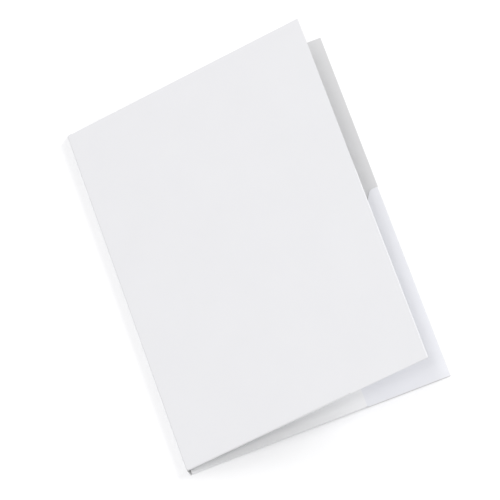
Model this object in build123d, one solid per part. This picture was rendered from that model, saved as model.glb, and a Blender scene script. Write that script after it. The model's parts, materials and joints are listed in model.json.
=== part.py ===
from build123d import *
import math
import os

# Driving sizes, in millimetres and degrees
cover_width = 225.0        # front cover, spine crease to fore edge
cover_height = 310.0       # front cover, head to foot
back_extra_fore = 2.0      # how far the back cover reaches past the front one at the fore edge
back_extra_end = 3.0       # the same at the head and at the foot
board = 0.45               # thickness of the board that everything is cut from
spine_width = 7.0          # outside thickness of the folder when it is closed
crease_radius = 0.5        # inside radius of the two spine creases
spine_lean = 105.0         # spine panel against the back cover, 90 when closed, 180 when flat
opening = 16.0             # front cover against the back cover, 0 when closed
glue_film = 0.15           # thickness of the glue that joins the two flaps of a pocket

# Shares that set the pockets and flap outlines
gap_share = 0.105          # a side flap's gap to its cover, of the room that both pockets leave free
side_flap_share = 0.55     # height of the side flap's tip, of the cover's height
side_tip_share = 0.034     # width of the side flap at its tip, of the cover's width
side_foot_share = 0.46     # width of the side flap at its foot, of the cover's width
bottom_flap_share = 0.68   # where the bottom flap ends, of the cover's width
bottom_height_share = 0.20 # height of the bottom flap, of the cover's height

# Small clearances
crease_play = 0.01         # a panel's edge short of its spine crease, so that flat panels just miss
fold_relief = 0.3          # slit beside each end of a fold
flap_inset = 0.2           # a flap's free edge inside the cover's edge
spine_tab = 0.35           # corner of a cover that is left between its spine crease and its bottom flap
glue_margin = 4.0          # glue spot inside the overlap of the two flaps

# Derived sizes
back_width = cover_width + back_extra_fore
back_height = cover_height + 2 * back_extra_end
spine_flat = spine_width - 2 * board - 2 * crease_radius
pocket_solid = 2 * board + glue_film
free_room = spine_width - 2 * board - 2 * pocket_solid
side_gap = gap_share * free_room
bottom_gap = side_gap + board + glue_film
side_bulge = side_gap / 2 + board
bottom_bulge = bottom_gap / 2 + board
lean = math.radians(spine_lean)
tilt = math.radians(opening)
back_hinge = (-back_width / 2, board + crease_radius)
front_hinge = (
    back_hinge[0] + spine_flat * math.cos(lean),
    back_hinge[1] + spine_flat * math.sin(lean),
)

os.makedirs("parts", exist_ok=True)


def round_corner(outline, point, radius):
    """Round the corner of a flat outline that is nearest to a point."""
    corner = outline.vertices().sort_by_distance((point[0], point[1], 0))[0]
    return fillet(corner, radius)


def plate(outline, low):
    """A flat piece of board with its lower face at height low."""
    return Pos(0, 0, low) * extrude(outline, amount=board)


def bend(plane, radius, start, sweep, length):
    """A strip of board bent about the plane's normal, from angle start through sweep."""
    outer = CenterArc((0, 0), radius + board, start, sweep)
    inner = CenterArc((0, 0), radius, start, sweep)
    ends = Line(outer @ 0, inner @ 0) + Line(outer @ 1, inner @ 1)
    return plane * extrude(make_face(outer + inner + ends), amount=length)


def pocket_cover(width, height):
    """A cover with its corner pocket.

    X runs from the spine crease to the fore edge, Y from foot to head, and Z is the height
    above the cover's inner face.
    """
    foot = -height / 2
    head = height / 2
    tip = foot + side_flap_share * height
    side_fold = width - side_bulge
    bottom_fold = foot + bottom_bulge
    side_foot = foot + flap_inset
    bottom_start = spine_tab + fold_relief
    bottom_end = bottom_flap_share * width

    cover_outline = Polygon(
        (crease_play, foot),
        (spine_tab, foot),
        (spine_tab, bottom_fold),
        (bottom_end + fold_relief, bottom_fold),
        (bottom_end + fold_relief, foot),
        (side_fold, foot),
        (side_fold, tip + fold_relief),
        (width, tip + fold_relief),
        (width, head),
        (crease_play, head),
        align=None,
    )
    cover = plate(cover_outline, -board)

    inner_foot = width - side_foot_share * width
    inner_tip = width - side_tip_share * width
    raised_foot = bottom_fold + flap_inset
    side_outline = Polygon(
        (side_fold, side_foot),
        (side_fold, tip),
        (inner_tip, tip),
        (inner_foot, raised_foot),
        (bottom_end + 2 * fold_relief, raised_foot),
        (bottom_end + 2 * fold_relief, side_foot),
        align=None,
    )
    side_outline = round_corner(side_outline, (inner_tip, tip), 0.018 * height)
    side_outline = round_corner(side_outline, (inner_foot, raised_foot), 0.02 * height)
    side_flap = plate(side_outline, side_gap)

    bottom_top = foot + bottom_height_share * height
    bottom_outline = Polygon(
        (bottom_start, bottom_fold),
        (bottom_end, bottom_fold),
        (bottom_end, bottom_top),
        (bottom_start, bottom_top),
        align=None,
    )
    bottom_outline = round_corner(bottom_outline, (bottom_end, bottom_top), 0.075 * height)
    bottom_outline = round_corner(bottom_outline, (bottom_start, bottom_top), 0.02 * height)
    bottom_flap = plate(bottom_outline, bottom_gap)

    side_axis = Plane(
        origin=(side_fold, tip, side_gap / 2),
        x_dir=(1, 0, 0),
        z_dir=(0, -1, 0),
    )
    side_crease = bend(side_axis, side_gap / 2, -90, 180, tip - side_foot)
    bottom_axis = Plane(
        origin=(bottom_start, bottom_fold, bottom_gap / 2),
        x_dir=(0, 1, 0),
        z_dir=(1, 0, 0),
    )
    bottom_crease = bend(bottom_axis, bottom_gap / 2, 90, 180, bottom_end - bottom_start)

    slope = (inner_tip - inner_foot) / (tip - raised_foot)
    glue_low = raised_foot + glue_margin
    glue_high = glue_low + 0.3 * (bottom_top - raised_foot)
    glue_outline = Polygon(
        (bottom_end - glue_margin, glue_low),
        (bottom_end - glue_margin, glue_high),
        (inner_foot + slope * (glue_high - raised_foot) + glue_margin, glue_high),
        (inner_foot + slope * (glue_low - raised_foot) + glue_margin, glue_low),
        align=None,
    )
    glue_outline = fillet(glue_outline.vertices(), 1.5)
    glue = Pos(0, 0, side_gap + board) * extrude(glue_outline, amount=glue_film)

    return {
        "cover": cover,
        "side_flap": side_flap,
        "bottom_flap": bottom_flap,
        "side_crease": side_crease,
        "bottom_crease": bottom_crease,
        "pocket_glue": glue,
    }


def save(shape, name):
    """Write one piece to its own file."""
    export_step(shape, "parts/" + name + ".step")


# Back cover, lying flat with its outer face at Z = 0
back_plane = Plane(origin=(back_hinge[0], 0, board), x_dir=(1, 0, 0), z_dir=(0, 0, 1))
for piece, shape in pocket_cover(back_width, back_height).items():
    save(back_plane * shape, "back_" + piece)

# Front cover, the same pocket turned over to face the back one
front_plane = Plane(
    origin=(front_hinge[0], 0, front_hinge[1]),
    x_dir=(math.cos(tilt), 0, math.sin(tilt)),
    z_dir=(-math.sin(tilt), 0, math.cos(tilt)),
)
for piece, shape in pocket_cover(cover_width, cover_height).items():
    facing_back = Pos(0, 0, crease_radius) * mirror(shape, about=Plane.XY)
    save(front_plane * facing_back, "front_" + piece)

# Spine panel, a little taller along the back crease than along the front one
spine_plane = Plane(
    origin=(back_hinge[0], 0, back_hinge[1]),
    x_dir=(math.cos(lean), 0, math.sin(lean)),
    z_dir=(-math.sin(lean), 0, math.cos(lean)),
)
spine_outline = Polygon(
    (crease_play, -back_height / 2),
    (spine_flat - crease_play, -cover_height / 2),
    (spine_flat - crease_play, cover_height / 2),
    (crease_play, back_height / 2),
    align=None,
)
save(spine_plane * plate(spine_outline, crease_radius), "spine_panel")

# Bent strips at the two spine creases
back_axis = Plane(
    origin=(back_hinge[0], back_height / 2, back_hinge[1]),
    x_dir=(1, 0, 0),
    z_dir=(0, -1, 0),
)
spine_back_crease = bend(back_axis, crease_radius, 90 + spine_lean, 180 - spine_lean, back_height)
save(spine_back_crease, "spine_back_crease")
front_axis = Plane(
    origin=(front_hinge[0], cover_height / 2, front_hinge[1]),
    x_dir=(1, 0, 0),
    z_dir=(0, -1, 0),
)
spine_front_crease = bend(front_axis, crease_radius, 90 + opening, spine_lean - opening, cover_height)
save(spine_front_crease, "spine_front_crease")
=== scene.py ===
import json
import math

import bmesh
import bpy
from mathutils import Matrix, Vector
from mathutils.bvhtree import BVHTree


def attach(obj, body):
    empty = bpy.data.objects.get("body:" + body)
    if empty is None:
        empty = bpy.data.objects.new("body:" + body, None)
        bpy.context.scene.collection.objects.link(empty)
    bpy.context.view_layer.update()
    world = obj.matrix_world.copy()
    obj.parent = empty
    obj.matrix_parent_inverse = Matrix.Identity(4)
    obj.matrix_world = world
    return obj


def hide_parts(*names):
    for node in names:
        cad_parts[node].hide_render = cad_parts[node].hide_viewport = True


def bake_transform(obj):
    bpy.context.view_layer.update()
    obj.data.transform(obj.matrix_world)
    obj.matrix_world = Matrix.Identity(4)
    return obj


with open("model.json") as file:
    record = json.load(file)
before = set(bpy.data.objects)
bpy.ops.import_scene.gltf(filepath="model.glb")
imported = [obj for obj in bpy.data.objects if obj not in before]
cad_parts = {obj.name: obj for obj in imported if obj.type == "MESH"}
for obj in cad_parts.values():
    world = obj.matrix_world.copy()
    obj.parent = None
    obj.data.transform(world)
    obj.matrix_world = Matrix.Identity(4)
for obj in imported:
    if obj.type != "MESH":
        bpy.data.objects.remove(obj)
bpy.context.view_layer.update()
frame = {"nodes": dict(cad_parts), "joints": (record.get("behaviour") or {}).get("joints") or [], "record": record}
scene = bpy.context.scene

# Sizes in metres, areas in square metres, angles in degrees
EDGE_ROUND = 0.00006      # rounding of the board's cut edges
EDGE_FACETS = 2           # facets of that rounding
ROUND_PROFILE = 0.5       # bevel profile that gives a circular arc
SAME_POINT = 0.0000001    # corners closer than this are one corner
TOUCH = 0.000004          # faces closer than this lie against each other
FLAT_AREA = 0.00006       # faces larger than this are shaded flat
FLAT_ANGLE = 0.5          # faces that differ less than this are one flat face
SHARP_ANGLE = 32.0        # edges that turn more than this stay sharp
FACING = 0.9              # least part of a face's normal that points the way it faces
FOLD_STEPS = 16           # facets round a fold
FOLD_SPANS = 40           # facets along a fold
FOLD_INSET = 0.0001       # a spine fold ends this far inside the panels' ends
FOLD_REACH = 1.66         # times a spine fold's width, its reach from the hinge to its first end
GRAIN_DEPTH = 0.00004     # height of the board's surface grain
COATED_SIDE, BARE_SIDE, CUT_SIDE = range(3)   # material slots of a panel


def turned(degrees):
    """The direction at that angle from +X, turning towards +Z."""
    angle = math.radians(degrees)
    return Vector((math.cos(angle), 0.0, math.sin(angle)))


# Fold lines and angles, read from the joints
joints = {joint["name"]: joint for joint in frame["joints"]}
back_hinge = Vector(joints["back_fold"]["pos_m"])
front_hinge = Vector(joints["front_fold"]["pos_m"])
lean = 90 - joints["back_fold"]["range_deg"][0]
tilt = lean - joints["front_fold"]["range_deg"][1]

UP = turned(90)
FOOTWARD = Vector((0, -1, 0))
front_out = turned(tilt + 90)
spine_out = turned(lean + 90)
body_nodes = frame["record"]["behaviour"]["bodies"]
body_of_node = {node: body for body, nodes in body_nodes.items() for node in nodes}


class Socket:
    """An output of a node that takes part in plain arithmetic."""

    def __init__(self, graph, output):
        self.graph = graph
        self.output = output

    def __getitem__(self, name):
        """Another output of the same node."""
        return Socket(self.graph, self.output.node.outputs[name])

    def maths(self, operation, *others):
        """A Math node on this value and any others."""
        values = dict(enumerate((self, *others)))
        return self.graph.node("ShaderNodeMath", {"operation": operation}, values)

    def __add__(self, other):
        return self.maths("ADD", other)

    def __mul__(self, other):
        return self.maths("MULTIPLY", other)

    def __pow__(self, power):
        return self.maths("POWER", power)

    def __gt__(self, limit):
        return self.maths("GREATER_THAN", limit)

    def __lt__(self, limit):
        return self.maths("LESS_THAN", limit)

    __radd__ = __add__
    __rmul__ = __mul__


class Graph:
    """A node tree, with one method that adds any node."""

    def __init__(self, tree):
        self.tree = tree

    def node(self, kind, settings=None, sockets=None):
        """Add a node, set its settings and then the values or links of its sockets."""
        made = self.tree.nodes.new(kind)
        for name, value in (settings or {}).items():
            if name == "capture_items":
                made.capture_items.new(*value)
            else:
                setattr(made, name, value)
        for name, value in (sockets or {}).items():
            self.feed(made.inputs[name], value)
        return Socket(self, made.outputs[0]) if made.outputs else None

    def feed(self, entry, value):
        """Link an input socket, or set its value."""
        if isinstance(value, Socket):
            self.tree.links.new(value.output, entry)
        else:
            entry.default_value = value


class Surface(Graph):
    """A material with one Principled shader, patterned by where a point lies on the object."""

    def __init__(self, name, refraction):
        self.material = bpy.data.materials.new(name)
        self.material.use_nodes = True
        super().__init__(self.material.node_tree)
        self.shader = self.tree.nodes["Principled BSDF"]
        self.shader.inputs["IOR"].default_value = refraction
        self.place = self.node("ShaderNodeTexCoord")["Object"]

    def noise(self, size, detail, rough, stretch=(1, 1, 1), slope=0):
        """Cloudy variation from 0 to 1, in spots of that size.

        The spots are drawn out by a stretch along X, Y and Z, and then X is raised to the slope.
        """
        spots = {
            "Vector": self.place,
            "Scale": [size * share for share in stretch],
            "Rotation": (0, -math.radians(slope), 0),
        }
        place = self.node("ShaderNodeMapping", {"vector_type": "TEXTURE"}, spots)
        sockets = {"Vector": place, "Scale": 1, "Detail": detail, "Roughness": rough}
        return self.node("ShaderNodeTexNoise", None, sockets)["Fac"]

    def mix(self, factor, first, second):
        """A colour between two colours."""
        mixer = self.node("ShaderNodeMix", {"data_type": "RGBA"}, {"Factor": factor}).output.node
        entries = [entry for entry in mixer.inputs if entry.type == "RGBA"]
        self.feed(entries[0], first)
        self.feed(entries[1], second)
        return Socket(self, next(output for output in mixer.outputs if output.type == "RGBA"))

    def finish(self, colour, rough, height, strength, depth):
        """Feed the shader, with a bump of that height, strength and depth."""
        relief = {"Height": height, "Strength": strength, "Distance": depth}
        bump = self.node("ShaderNodeBump", None, relief)
        self.feed(self.shader.inputs["Base Color"], colour)
        self.feed(self.shader.inputs["Roughness"], rough)
        self.feed(self.shader.inputs["Normal"], bump)
        return self.material


def coating(board, dark, light):
    """The colour, roughness and grain of a smooth matt coating, faintly mottled."""
    mottle = board.noise(size=0.0385, detail=3, rough=0.55)
    grain = board.noise(size=0.00053, detail=2, rough=0.6)
    colour = board.mix(0.7 * mottle + 0.3 * grain, dark, light)
    rough = 0.42 + 0.10 * mottle + 0.06 * grain
    return colour, rough, grain


def coated_board(name, dark, light):
    """The board's coated side."""
    board = Surface(name, refraction=1.45)
    colour, rough, grain = coating(board, dark, light)
    return board.finish(colour, rough, height=grain, strength=0.10, depth=GRAIN_DEPTH)


def creased_board(name, dark, light, worn, stretch, slope=0):
    """The coated side on a fold, where it is drawn into fine pale lines along the fold."""
    board = Surface(name, refraction=1.45)
    smooth, rough, grain = coating(board, dark, light)
    lines = board.noise(size=0.000385, detail=3, rough=0.6, stretch=stretch, slope=slope)
    colour = board.mix(0.6 * lines ** 3, smooth, worn)
    return board.finish(colour, rough, height=0.4 * grain + lines, strength=0.22, depth=GRAIN_DEPTH)


def uncoated_board(name, dark, light):
    """The board's bare side, rougher, with paper fibres along Y, and greyer: partly its own tone, partly painted
    shade for the inside of the folder.
    """
    board = Surface(name, refraction=1.4)
    cloud = board.noise(size=0.0294, detail=4, rough=0.6)
    grain = board.noise(size=0.00071, detail=3, rough=0.65)
    fibre = board.noise(size=0.00385, detail=4, rough=0.7, stretch=(1, 4.5, 1))
    colour = board.mix(0.5 * cloud + 0.25 * grain + 0.25 * fibre, dark, light)
    rough = 0.62 + 0.1 * cloud
    height = 0.6 * grain + 0.4 * fibre
    return board.finish(colour, rough, height, strength=0.2, depth=1.5 * GRAIN_DEPTH)


def cut_board(name, dark, light):
    """The white core that shows on a cut edge, in fine layers."""
    board = Surface(name, refraction=1.4)
    layers = board.noise(size=0.00019, detail=2, rough=0.5)
    streak = board.noise(size=0.0031, detail=3, rough=0.6)
    colour = board.mix(0.5 * layers + 0.5 * streak, dark, light)
    rough = 0.68 + 0.1 * streak
    return board.finish(colour, rough, height=layers, strength=0.25, depth=GRAIN_DEPTH)


def dried_glue(name, dark, light):
    """Dried white glue, slightly glossy and uneven."""
    film = Surface(name, refraction=1.47)
    blotch = film.noise(size=0.0024, detail=3, rough=0.6)
    colour = film.mix(blotch, dark, light)
    rough = 0.3 + 0.15 * blotch
    return film.finish(colour, rough, height=blotch, strength=0.4, depth=2.5 * GRAIN_DEPTH)


def seen_directly(graph):
    """1 for rays from the camera, mirrored rays and rays that pass through, 0 for the rest."""
    ray = graph.node("ShaderNodeLightPath")
    return ray["Is Camera Ray"] + ray["Is Glossy Ray"] + ray["Is Transmission Ray"]


def floor_paint(name, dark, light, glow):
    """Matt pale paint, with a glow that is seen but doesn't light the folder."""
    paint = Surface(name, refraction=1.4)
    cloud = paint.noise(size=0.33, detail=2, rough=0.5)
    colour = paint.mix(cloud, dark, light)
    rough = 0.85 + 0.05 * cloud
    paint.feed(paint.shader.inputs["Emission Color"], paint.mix(seen_directly(paint), BLACK, WHITE))
    paint.feed(paint.shader.inputs["Emission Strength"], glow)
    return paint.finish(colour, rough, height=cloud, strength=0.02, depth=5 * GRAIN_DEPTH)


# Colours, each from dark to light, and the stretch of the lines on a fold
COATED_TONES = ((0.803, 0.803, 0.819, 1), (0.838, 0.838, 0.853, 1))
# The side flaps' tones are the coated side's made bluer: painted light, for the cool light that falls on them
SIDE_FLAP_PAINTED_LIGHT_TONES = ((0.800, 0.806, 0.838, 1), (0.835, 0.841, 0.872, 1))
# The bottom flaps' tones are the coated side's made paler: painted light, brightening them where the front cover
# shades them
BOTTOM_FLAP_PAINTED_LIGHT_TONES = ((0.860, 0.861, 0.866, 1), (0.892, 0.893, 0.898, 1))
FOLD_TONES = ((0.765, 0.767, 0.780, 1), (0.805, 0.807, 0.820, 1), (0.850, 0.850, 0.855, 1))
# The bare side's tones: partly the bare board's own grey, partly painted shade for the inside of the folder
BARE_AND_PAINTED_SHADE_TONES = ((0.660, 0.660, 0.664, 1), (0.720, 0.720, 0.724, 1))
CORE_TONES = ((0.790, 0.790, 0.785, 1), (0.880, 0.880, 0.875, 1))
GLUE_TONES = ((0.700, 0.690, 0.640, 1), (0.800, 0.790, 0.750, 1))
FLOOR_TONES = ((0.945, 0.945, 0.948, 1), (0.955, 0.955, 0.958, 1))
BLACK = (0, 0, 0, 1)
WHITE = (1, 1, 1, 1)
ALONG_X = (43, 1, 1)
ALONG_Y = (1, 43, 1)

coated = coated_board("board_coated", *COATED_TONES)
# a bluer copy of the coated side, with painted light
coated_side_flap_painted_light = coated_board("board_coated_side", *SIDE_FLAP_PAINTED_LIGHT_TONES)
# a paler copy of the coated side, with painted light
coated_bottom_flap_painted_light = coated_board("board_coated_bottom", *BOTTOM_FLAP_PAINTED_LIGHT_TONES)
creased_along_y = creased_board("board_creased_along_y", *FOLD_TONES, ALONG_Y)
creased_along_x = creased_board("board_creased_along_x", *FOLD_TONES, ALONG_X)
creased_up_slope = creased_board("board_creased_up_slope", *FOLD_TONES, ALONG_X, slope=tilt)
uncoated = uncoated_board("board_uncoated", *BARE_AND_PAINTED_SHADE_TONES)
cut_edge = cut_board("board_cut_edge", *CORE_TONES)
glue = dried_glue("dried_glue", *GLUE_TONES)


def shade(mesh):
    """Shade a mesh smooth over its bends, flat on its panels and sharp on its corners."""
    mesh.set_sharp_from_angle(angle=math.radians(SHARP_ANGLE))
    for face in mesh.polygons:
        face.use_smooth = face.area < FLAT_AREA


def cleaned(name):
    """A node's mesh with its split corners joined and its flat faces made whole."""
    shape = bmesh.new()
    shape.from_mesh(frame["nodes"][name].data)
    bmesh.ops.remove_doubles(shape, verts=shape.verts, dist=SAME_POINT)
    flat = math.radians(FLAT_ANGLE)
    bmesh.ops.dissolve_limit(shape, angle_limit=flat, verts=shape.verts, edges=shape.edges)
    bmesh.ops.recalc_face_normals(shape, faces=shape.faces)
    return shape


def placed(name, shape, materials):
    """An object made from a shape and its materials."""
    mesh = bpy.data.meshes.new(name)
    shape.to_mesh(mesh)
    shape.free()
    for material in materials:
        mesh.materials.append(material)
    shade(mesh)
    piece = bpy.data.objects.new(name, mesh)
    scene.collection.objects.link(piece)
    return piece


rest_graph = bpy.context.evaluated_depsgraph_get()
node_trees = {name: BVHTree.FromObject(node, rest_graph) for name, node in frame["nodes"].items()}


def lies_against_another(name, face):
    """Whether a face of a node lies against another node."""
    centre = face.calc_center_median()
    for other, tree in node_trees.items():
        if other != name:
            spot, normal, _, _ = tree.find_nearest(centre, TOUCH)
            if spot is not None and normal.dot(face.normal) < -FACING:
                return True
    return False


def flat_piece(name, coated_way, coated_finish):
    """A panel or flap: coated, bare and cut faces, with its free edges slightly rounded."""
    shape = cleaned(name)
    rims = [face for face in shape.faces if abs(face.normal.dot(coated_way)) < FACING]
    held = {edge for face in rims if lies_against_another(name, face) for edge in face.edges}
    sharp = math.radians(SHARP_ANGLE)
    free = [edge for edge in shape.edges if edge not in held and edge.calc_face_angle(0) > sharp]
    bmesh.ops.bevel(
        shape,
        geom=free,
        offset=EDGE_ROUND,
        segments=EDGE_FACETS,
        profile=ROUND_PROFILE,
        affect="EDGES",
    )
    for face in shape.faces:
        facing = face.normal.dot(coated_way)
        if facing > FACING:
            face.material_index = COATED_SIDE
        elif facing < -FACING:
            face.material_index = BARE_SIDE
        else:
            face.material_index = CUT_SIDE
    piece = placed("board_" + name, shape, (coated_finish, uncoated, cut_edge))
    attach(piece, body_of_node[name])
    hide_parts(name)


def bent_strip_tree():
    """A strip of board bent about an axis, as Geometry Nodes, and the identifiers of its inputs.

    It starts as a box whose X goes round the bend, Y along it and Z through the board.
    """
    tree = bpy.data.node_groups.new("bent_strip", "GeometryNodeTree")
    tree.is_modifier = True
    kinds = {
        "Vector": ("Axis", "Across", "Rise", "Along"),
        "Float": ("Inner radius", "Thickness", "Length", "Start", "Sweep"),
        "Int": ("Steps", "Spans"),
        "Material": ("Outside", "Inside", "Cut edge"),
    }
    inputs = {}
    for kind, names in kinds.items():
        for name in names:
            entry = tree.interface.new_socket(name, in_out="INPUT", socket_type="NodeSocket" + kind)
            inputs[name] = entry.identifier
    tree.interface.new_socket("Strip", in_out="OUTPUT", socket_type="NodeSocketGeometry")

    graph = Graph(tree)
    given = graph.node("NodeGroupInput")
    counts = {"Vertices X": given["Steps"] + 1, "Vertices Y": given["Spans"] + 1, "Vertices Z": 2}
    box = graph.node("GeometryNodeMeshCube", None, {"Size": (1, 1, 1)} | counts)
    normal = graph.node("ShaderNodeSeparateXYZ", None, {"Vector": graph.node("GeometryNodeInputNormal")})
    kept = graph.node(
        "GeometryNodeCaptureAttribute",
        {"domain": "FACE", "capture_items": ("FLOAT", "Facing")},
        {"Geometry": box, "Facing": normal["Z"]},
    )

    spot = graph.node("ShaderNodeSeparateXYZ", None, {"Vector": graph.node("GeometryNodeInputPosition")})
    angle = given["Start"] + given["Sweep"] * (spot["X"] + 0.5)
    radius = given["Inner radius"] + given["Thickness"] * (spot["Z"] + 0.5)
    reaches = {
        "Across": radius * angle.maths("COSINE"),
        "Rise": radius * angle.maths("SINE"),
        "Along": given["Length"] * (spot["Y"] + 0.5),
    }
    point = given["Axis"]
    for way, reach in reaches.items():
        step = graph.node("ShaderNodeVectorMath", {"operation": "SCALE"}, {0: given[way], "Scale": reach})
        point = graph.node("ShaderNodeVectorMath", {"operation": "ADD"}, {0: point, 1: step})
    strip = graph.node("GeometryNodeSetPosition", None, {"Geometry": kept, "Position": point})

    strip = graph.node("GeometryNodeRealizeInstances", None, {"Geometry": strip})
    facing = kept["Facing"]
    sides = {"Cut edge": True, "Outside": facing > FACING, "Inside": facing < -FACING}
    for side, chosen in sides.items():
        sockets = {"Geometry": strip, "Selection": chosen, "Material": given[side]}
        strip = graph.node("GeometryNodeSetMaterial", None, sockets)
    graph.node("NodeGroupOutput", None, {"Strip": strip})
    return tree, inputs


strip_tree, strip_inputs = bent_strip_tree()


def fold_piece(name, axis, across, rise, start, sweep, outside, inset=0.0):
    """A fold in the board, bent about its axis from angle start through sweep.

    Both ends are drawn in by an inset.
    """
    along = across.cross(rise)
    corners = [vertex.co - axis for vertex in frame["nodes"][name].data.vertices]
    reaches = [corner.dot(along) for corner in corners]
    radii = [(corner - along * reach).length for corner, reach in zip(corners, reaches)]
    sizes = {
        "Axis": axis + along * (min(reaches) + inset),
        "Across": across,
        "Rise": rise,
        "Along": along,
        "Inner radius": min(radii),
        "Thickness": max(radii) - min(radii),
        "Length": max(reaches) - min(reaches) - 2 * inset,
        "Start": math.radians(start),
        "Sweep": math.radians(sweep),
        "Steps": FOLD_STEPS,
        "Spans": FOLD_SPANS,
        "Outside": outside,
        "Inside": uncoated,
        "Cut edge": cut_edge,
    }
    piece = bpy.data.objects.new("fold_" + name, bpy.data.meshes.new("unbent_" + name))
    scene.collection.objects.link(piece)
    bend = piece.modifiers.new("bend", "NODES")
    bend.node_group = strip_tree
    for size, value in sizes.items():
        bend[strip_inputs[size]] = value
    bent = piece.evaluated_get(bpy.context.evaluated_depsgraph_get())
    mesh = bpy.data.meshes.new_from_object(bent)
    mesh.name = piece.name
    mesh.materials.pop(index=0)   # the slot that the box starts with is empty
    shade(mesh)
    piece.modifiers.remove(bend)
    piece.data = mesh
    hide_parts(name)
    return piece


def pocket_fold(name, bulge, rise, outside):
    """A half-round fold of a pocket, which bulges out along one direction."""
    corners = [vertex.co for vertex in frame["nodes"][name].data.vertices]
    heights = [corner.dot(rise) for corner in corners]
    depth = min(corner.dot(bulge) for corner in corners)
    axis = bulge * depth + rise * (min(heights) + max(heights)) / 2
    piece = fold_piece(name, axis, bulge, rise, start=-90, sweep=180, outside=outside)
    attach(piece, body_of_node[name])


def spine_fold(name, hinge, start, sweep):
    """A fold of the spine, bent about its hinge from angle start through sweep, and left in place."""
    piece = fold_piece(name, hinge, turned(0), UP, start, sweep, creased_along_y, FOLD_INSET)
    reach = FOLD_REACH * max((point.co - hinge).xz.length for point in piece.data.vertices)
    first_end = hinge + turned(start + sweep) * reach
    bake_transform(piece)


# Panels are coated on their outside, and the folded flaps show that same side, in copies of its coat with painted
# light: bluer on the side flaps, paler on the bottom flaps
flat_piece("back_cover", -UP, coated)
flat_piece("back_side_flap", UP, coated_side_flap_painted_light)
flat_piece("back_bottom_flap", UP, coated_bottom_flap_painted_light)
flat_piece("spine_panel", spine_out, coated)
flat_piece("front_cover", front_out, coated)
flat_piece("front_side_flap", -front_out, coated_side_flap_painted_light)
flat_piece("front_bottom_flap", -front_out, coated_bottom_flap_painted_light)

pocket_fold("back_side_crease", turned(0), UP, creased_along_y)
pocket_fold("back_bottom_crease", FOOTWARD, UP, creased_along_x)
pocket_fold("front_side_crease", turned(tilt), front_out, creased_along_y)
pocket_fold("front_bottom_crease", FOOTWARD, front_out, creased_up_slope)
spine_fold("spine_back_crease", back_hinge, start=90 + lean, sweep=180 - lean)
spine_fold("spine_front_crease", front_hinge, start=90 + tilt, sweep=lean - tilt)

for name in ("back_pocket_glue", "front_pocket_glue"):
    film = placed("film_" + name, cleaned(name), (glue,))
    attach(film, body_of_node[name])
    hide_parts(name)

# The CAD nodes, each in its main finish
for name, node in frame["nodes"].items():
    node.data.materials.clear()
    node.data.materials.append(glue if name.endswith("glue") else coated)


# Floor
FLOOR_REACH = 8.0         # how far the floor reaches on each side
FLOOR_DROP = 0.00005      # the floor lies this far below the back cover
FLOOR_GLOW = 0.06         # how much paler the floor is seen
ground = bmesh.new()
bmesh.ops.create_grid(ground, x_segments=1, y_segments=1, size=FLOOR_REACH)
paint = floor_paint("floor_paint", *FLOOR_TONES, FLOOR_GLOW)
floor = placed("floor", ground, (paint,))
floor.location.z = -FLOOR_DROP


# Camera, looking down past the folder's foot and rolled
CAMERA_AT = Vector((0.1029, -0.8803, 2.7211))
AIM_AT = Vector((-0.0039, -0.0018, 0.020))
CAMERA_ROLL = math.radians(-27.65)
LENS = 248.0              # in millimetres, as is the sensor
SENSOR = 36.0
ahead = (AIM_AT - CAMERA_AT).normalized()
level = ahead.cross(UP).normalized()
above = level.cross(ahead)
right = level * math.cos(CAMERA_ROLL) + above * math.sin(CAMERA_ROLL)
top = right.cross(ahead)
camera = bpy.data.objects.new("camera", bpy.data.cameras.new("camera"))
camera.matrix_world = Matrix.Translation(CAMERA_AT) @ Matrix((right, top, -ahead)).transposed().to_4x4()
camera.data.sensor_width = SENSOR
camera.data.lens = LENS
camera.data.clip_start = 0.05
camera.data.clip_end = 60.0
scene.collection.objects.link(camera)
scene.camera = camera


def softbox(name, at, size, power):
    """A round soft lamp that faces the folder."""
    lamp = bpy.data.lights.new(name, "AREA")
    lamp.shape = "DISK"
    lamp.size = size
    lamp.energy = power
    holder = bpy.data.objects.new(name, lamp)
    holder.location = at
    holder.rotation_euler = (-Vector(at)).to_track_quat("-Z", "Y").to_euler()
    scene.collection.objects.link(holder)


# Lamps, from the brightest to the faintest
softbox("fore_side", at=(3.66, 1.33, 2.25), size=2.2, power=83.0)
softbox("head_side", at=(-0.17, 0.60, 3.50), size=0.65, power=12.5)
softbox("overhead", at=(-0.14, -0.55, 2.75), size=0.5, power=7.3)
softbox("spine_side", at=(-2.0, -0.2, 1.2), size=0.8, power=2.4)


DOME_TINT = (0.99, 0.99, 1.0, 1)
DOME_STRENGTH = 0.705


def studio_sky():
    """Soft light from all round, and plain white wherever it is seen directly or mirrored."""
    world = bpy.data.worlds.new("studio")
    world.use_nodes = True
    world.node_tree.nodes.clear()
    sky = Graph(world.node_tree)
    dome = sky.node("ShaderNodeBackground", None, {"Color": DOME_TINT, "Strength": DOME_STRENGTH})
    white = sky.node("ShaderNodeBackground", None, {"Color": WHITE, "Strength": 1.0})
    pick = sky.node("ShaderNodeMixShader", None, {"Fac": seen_directly(sky), 1: dome, 2: white})
    sky.node("ShaderNodeOutputWorld", None, {"Surface": pick})
    return world


scene.world = studio_sky()
scene.view_settings.view_transform = "Standard"
